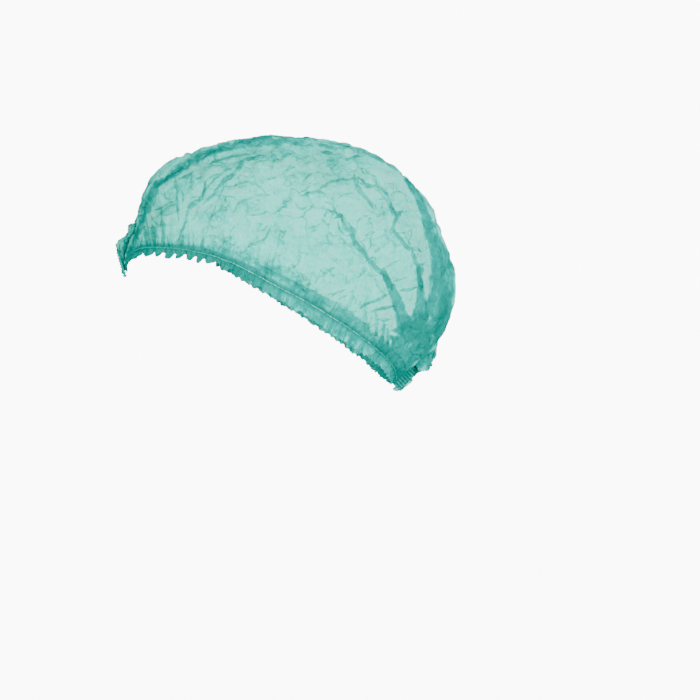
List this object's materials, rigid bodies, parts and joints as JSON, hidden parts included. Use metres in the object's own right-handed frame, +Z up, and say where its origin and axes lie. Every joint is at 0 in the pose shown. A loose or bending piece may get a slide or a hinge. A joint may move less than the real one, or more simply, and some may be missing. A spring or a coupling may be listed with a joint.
{
  "type": "bouffant cap",
  "caption": "Disposable pleated nonwoven bouffant cap in its worn form: a thin puffed crown, pleats that meet in a weld at front and back, and an elastic-gathered ruffled edge",
  "frame": {"origin": "The middle of the tilted head opening, on the cap's middle plane, level with the middle of its elastic edge: where the cap sits on a head (mount head_seat).", "axes": "+X to the wearer's left, +Y from the forehead to the nape, +Z up. The cap keeps its worn tilt, with the front edge high on the forehead and the back edge low at the nape."},
  "size_m": [0.1649, 0.2213, 0.1665],
  "materials": {
    "nonwoven": "thin see-through turquoise nonwoven cloth, matt",
    "elastic": "pale turquoise elastic cord, matt",
    "weld": "dense dark turquoise ribbed weld through the pleat stack"
  },
  "bodies": {
    "root": {"crown": "nonwoven", "elastic_left": "elastic", "elastic_right": "elastic", "weld_front": "weld", "weld_back": "weld"}
  },
  "joints": []
}
